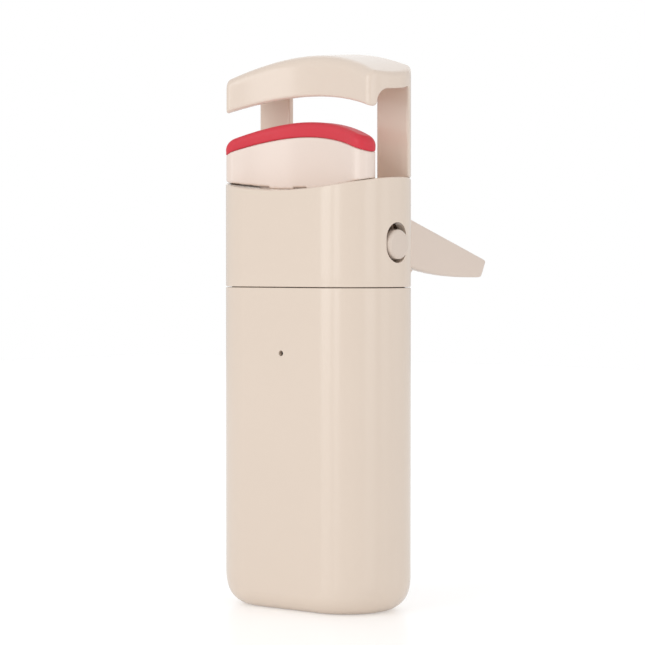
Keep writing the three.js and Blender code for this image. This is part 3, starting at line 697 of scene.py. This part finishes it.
def pad_distance(x, y, z):
    """It stands a little proud of the carriage, and its walls lean outwards towards the crest."""
    proud = 0.03 + 0.05 * np.maximum(z - CARRIAGE_TOP_Z + CARRIAGE_TOP_FALL * x**2, 0)
    bar = bar_distance(x, y, BAR_MIDDLE_Y, BAR_THICKNESS, BAR_HALF_SPAN) - proud
    crest = arch_distance(x, y, z, PAD_CREST_Z, PAD_CREST_FALL)
    rest = -arch_distance(x, y, z, CARRIAGE_TOP_Z + 0.03, CARRIAGE_TOP_FALL)
    return meet(meet(bar, crest, 1.3), rest, 0.15)


def make_pad():
    return surface_net("lash_pad", pad_distance, (-16.4, -7.3, 77), (16.4, 0.4, 83.2), 0.22)


def make_return_spring(side):
    """An open coil between the carriage's foot and the head, in its CAD node's place."""
    low, high = (corner.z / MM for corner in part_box(f"{side}_return_spring"))
    middle = np.array([SPRING_X if side == "right" else -SPRING_X, SPRING_Y, low + SPRING_WIRE])
    climb = np.array([0, 0, high - low - 2 * SPRING_WIRE])
    up = np.array([0, 0, 1])
    turns = np.linspace(0, 2 * math.pi, 12, endpoint=False)
    loops = []
    for share in np.linspace(0, 1, SPRING_TURNS * 32 + 1):
        angle = share * SPRING_TURNS * 2 * math.pi
        out = np.array([math.cos(angle), math.sin(angle), 0])
        centre = middle + climb * share + out * SPRING_RADIUS
        loops.append([centre + SPRING_WIRE * (up * math.cos(a) + out * math.sin(a)) for a in turns])
    return loft(f"{side}_spring_coil", loops, 60)


# ---------------------------------------------------------------- materials


def srgb(red, green, blue):
    """A colour given as 0 to 255 in sRGB, as linear RGBA."""
    channels = [c / 255 for c in (red, green, blue)]
    return (*[((c + 0.055) / 1.055) ** 2.4 if c > 0.04045 else c / 12.92 for c in channels], 1)


class Surface:
    """A procedural material around one Principled shader, with textures in the piece's own coordinates."""

    def __init__(self, name, **constants):
        self.material = bpy.data.materials.new(name)
        self.material.use_nodes = True
        self.tree = self.material.node_tree
        self.shader = self.tree.nodes["Principled BSDF"]
        self.place = self.tree.nodes.new("ShaderNodeTexCoord").outputs["Object"]
        for socket, value in constants.items():
            self.shader.inputs[socket.replace("_", " ")].default_value = value

    def node(self, kind, inputs=(), **settings):
        made = self.tree.nodes.new(kind)
        for key, value in settings.items():
            setattr(made, key, value)
        for key, value in dict(inputs).items():
            if isinstance(value, bpy.types.NodeSocket):
                self.tree.links.new(value, made.inputs[key])
            else:
                made.inputs[key].default_value = value
        return made

    def stretched(self, scale):
        return self.node("ShaderNodeMapping", {"Vector": self.place, "Scale": scale}).outputs["Vector"]

    def noise(self, scale, detail=3.0, roughness=0.5, place=None):
        inputs = {"Vector": place or self.place, "Scale": scale, "Detail": detail, "Roughness": roughness}
        return self.node("ShaderNodeTexNoise", inputs).outputs["Fac"]

    def ramp(self, value, low, high, from_min=0.0, from_max=1.0):
        inputs = {"Value": value, "From Min": from_min, "From Max": from_max, "To Min": low, "To Max": high}
        return self.node("ShaderNodeMapRange", inputs).outputs["Result"]

    def mix(self, share, first, second):
        made = self.node("ShaderNodeMix", data_type="RGBA")
        for index, value in ((0, share), (6, first), (7, second)):
            if isinstance(value, bpy.types.NodeSocket):
                self.tree.links.new(value, made.inputs[index])
            else:
                made.inputs[index].default_value = value
        return made.outputs[2]

    def drive(self, socket, value):
        self.tree.links.new(value, self.shader.inputs[socket])

    def bump(self, height, distance_mm, strength=1.0):
        inputs = {"Height": height, "Distance": distance_mm * MM, "Strength": strength}
        self.drive("Normal", self.node("ShaderNodeBump", inputs).outputs["Normal"])


def tinted(colour, factor):
    return (*[min(1, c * factor) for c in colour[:3]], 1)


def plastic(name, colour, roughness=0.3, coat=0.0, spread=0.01):
    """Moulded plastic: a faint cloud in the colour and a fine moulded grain."""
    surface = Surface(name, IOR=1.5, Roughness=roughness, Coat_Weight=coat, Coat_Roughness=0.12)
    cloud = surface.noise(60, 1)
    surface.drive("Base Color", surface.mix(cloud, tinted(colour, 1 - spread), tinted(colour, 1 + spread)))
    surface.bump(surface.noise(4200, 1), 0.002, 0.3)
    return surface.material


def silicone(name, colour):
    surface = Surface(
        name,
        IOR=1.41,
        Subsurface_Weight=0.12,
        Subsurface_Radius=(1.0, 0.3, 0.25),
        Subsurface_Scale=0.6 * MM,
        Sheen_Weight=0.02,
        Sheen_Roughness=0.4,
    )
    cloud = surface.noise(160, 3)
    surface.drive("Base Color", surface.mix(cloud, tinted(colour, 0.95), tinted(colour, 1.05)))
    surface.drive("Roughness", surface.ramp(surface.noise(400, 4), 0.4, 0.52, 0.3, 0.7))
    surface.bump(surface.noise(3200, 3), 0.01, 0.4)
    return surface.material


def metal(name, colour, roughness=0.28, grain=(1, 40, 40)):
    """Turned, drawn or rolled metal, its fine lines along the axis with the smallest share of grain."""
    surface = Surface(name, Metallic=1.0)
    lines = surface.noise(300, 4, 0.6, surface.stretched(grain))
    surface.drive("Base Color", surface.mix(lines, tinted(colour, 0.88), tinted(colour, 1.08)))
    surface.drive("Roughness", surface.ramp(lines, roughness - 0.08, roughness + 0.12, 0.3, 0.7))
    surface.bump(lines, 0.004, 0.5)
    return surface.material


def rubber(name, colour):
    surface = Surface(name, IOR=1.5)
    surface.drive("Base Color", surface.mix(surface.noise(500, 4), tinted(colour, 0.8), tinted(colour, 1.2)))
    surface.drive("Roughness", surface.ramp(surface.noise(900, 3), 0.65, 0.85))
    surface.bump(surface.noise(2500, 3), 0.01, 0.6)
    return surface.material


def solder_mask(name):
    """A circuit board: green mask over copper tracks."""
    surface = Surface(name, IOR=1.5, Coat_Weight=0.3, Coat_Roughness=0.2)
    tracks = surface.node(
        "ShaderNodeTexBrick",
        {"Vector": surface.place, "Scale": 420.0, "Mortar Size": 0.03, "Mortar Smooth": 0.2},
    ).outputs["Fac"]
    surface.drive("Base Color", surface.mix(tracks, srgb(38, 98, 62), srgb(64, 132, 84)))
    surface.drive("Roughness", surface.ramp(surface.noise(600), 0.4, 0.6))
    surface.bump(tracks, 0.03, 0.5)
    return surface.material


def shrink_film(name, colour):
    surface = Surface(name, IOR=1.5)
    wrinkles = surface.noise(260, 5, 0.6, surface.stretched((1, 1, 0.25)))
    surface.drive("Base Color", surface.mix(wrinkles, tinted(colour, 0.9), tinted(colour, 1.1)))
    surface.drive("Roughness", surface.ramp(wrinkles, 0.22, 0.4))
    surface.bump(wrinkles, 0.05, 0.5)
    return surface.material


def clear_plastic(name, colour):
    surface = Surface(name, IOR=1.49, Transmission_Weight=0.6)
    surface.drive("Base Color", surface.mix(surface.noise(300), tinted(colour, 0.95), colour))
    surface.drive("Roughness", surface.ramp(surface.noise(500), 0.08, 0.2))
    return surface.material


BEIGE = srgb(231, 214, 198)
SHELL = plastic("shell_plastic", BEIGE, 0.22, 0.3)
FRAME = plastic("clamp_plastic", srgb(231, 214, 199), 0.22, 0.3)
LEVER = plastic("lever_plastic", srgb(229, 212, 199), 0.3, 0.1)
# The carriage is painted paler than the shell: partly its own paler tone, partly a painted highlight for the
# light that its front catches.
CARRIAGE = plastic("carriage_plastic", srgb(239, 222, 211), 0.27, 0.2)
BUTTONS = plastic("button_plastic", srgb(223, 207, 194), 0.26, 0.15)
SILICONE = silicone("red_silicone", srgb(217, 56, 71))
STEEL = metal("turned_steel", (0.62, 0.63, 0.65, 1))
SCREW_STEEL = metal("screw_steel", (0.42, 0.43, 0.45, 1), 0.3, (30, 1, 30))
WIRE = metal("spring_wire", (0.6, 0.61, 0.63, 1), 0.22, (10, 10, 40))
PLATE = metal("heater_aluminium", (0.74, 0.75, 0.77, 1), 0.35, (1, 30, 30))
SOCKET = metal("socket_shell", (0.55, 0.56, 0.58, 1), 0.24, (1, 40, 40))
GASKET = rubber("seal_rubber", srgb(70, 64, 60))
NYLON = plastic("collar_nylon", srgb(176, 164, 155), 0.55)
CERAMIC = plastic("heater_ceramic", srgb(232, 228, 218), 0.7)
EPOXY = plastic("black_epoxy", srgb(34, 35, 38), 0.35)
BOARD = solder_mask("solder_mask")
CELL = shrink_film("cell_film", srgb(74, 111, 165))
LED = clear_plastic("led_epoxy", srgb(255, 150, 110))
# The light pipe is painted near black and matt: painted shade, standing for the dark inside the light hole
# in front of it.
LIGHT_PIPE = rubber("light_pipe_painted_shade", srgb(14, 12, 12))


def paint(piece, material):
    piece.data.materials.clear()
    piece.data.materials.append(material)


# ---------------------------------------------------------------- assembly


def fit(piece, body, slot, material, *nodes):
    """Paints a piece, lets it ride on its body and stand for its CAD nodes."""
    paint(piece, material)
    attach(piece, body)
    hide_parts(*nodes)


def paint_node(name, material):
    paint(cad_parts[name], material)


fit(make_sleeve(), "housing", "shell", SHELL, "handle_sleeve")
fit(make_head(), "housing", "shell", SHELL, "head_shell")
fit(make_clamp(), "housing", "frame", FRAME, "clamp_frame")
fit(make_lever(), "lever", "lever", LEVER, "thumb_lever")
fit(make_pivot_cap(1), "lever", "cap", BUTTONS, "right_pivot_cap")
fit(make_pivot_cap(-1), "lever", "cap", BUTTONS, "left_pivot_cap")
fit(make_carriage(), "carriage", "carriage", CARRIAGE, "pad_carriage")
fit(make_pad(), "carriage", "pad", SILICONE, "silicone_pad")
fit(make_power_button(), "button", "button", BUTTONS, "power_button")
for side_name in ("left", "right"):
    node_name = f"{side_name}_return_spring"
    coil = make_return_spring(side_name)
    fit(coil, "housing", "spring", WIRE, node_name)
    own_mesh(coil)

NODE_MATERIALS = {
    "seam_gasket": GASKET,
    "joint_collar": NYLON,
    "pivot_pin": STEEL,
    "heater_plate": PLATE,
    "temperature_sensor": EPOXY,
    "battery_cell": CELL,
    "circuit_board": BOARD,
    "usb_socket": SOCKET,
    "power_switch": EPOXY,
    "status_led": LED,
    "light_pipe": LIGHT_PIPE,
}
PAIR_MATERIALS = {
    "bearing_cheek": STEEL,
    "frame_screw": SCREW_STEEL,
    "sleeve_screw": SCREW_STEEL,
    "guide_post": STEEL,
    "heating_element": CERAMIC,
}
for node_name, node_material in NODE_MATERIALS.items():
    paint_node(node_name, node_material)
for pair_name, pair_material in PAIR_MATERIALS.items():
    for side_name in ("left", "right"):
        paint_node(f"{side_name}_{pair_name}", pair_material)


def add_floor():
    bpy.ops.mesh.primitive_plane_add(size=1.6)  # metres
    floor = bpy.context.object
    floor.name = "floor"
    surface = Surface("floor_white", Roughness=0.25, IOR=1.3)
    surface.shader.inputs["Emission Color"].default_value = (1, 1, 1, 1)
    surface.drive("Emission Strength", camera_switch(surface.tree, 0.3, 0.135))
    surface.drive("Base Color", surface.mix(surface.noise(8), (0.86, 0.86, 0.86, 1), (0.88, 0.88, 0.88, 1)))
    paint(floor, surface.material)


add_floor()
add_world(0.68)
add_area_light("key", -22, 18, 1.2, (0.5, 1.2), 3.1)
add_area_light("streak", 3, 14, 1.2, (0.28, 1.2), 1.6)
add_area_light("side", 75, 10, 1.0, (0.4, 1.0), 1.2)
add_area_light("far_side", 110, 10, 1.0, (0.4, 1.0), 0.85)
add_area_light("rear_side", 135, 10, 1.0, (0.4, 1.0), 0.35)
add_area_light("back", 215, 30, 1.2, (1.0, 1.0), 1.2)
add_camera()
view = bpy.context.scene.view_settings
view.view_transform = "Standard"
view.look = "None"
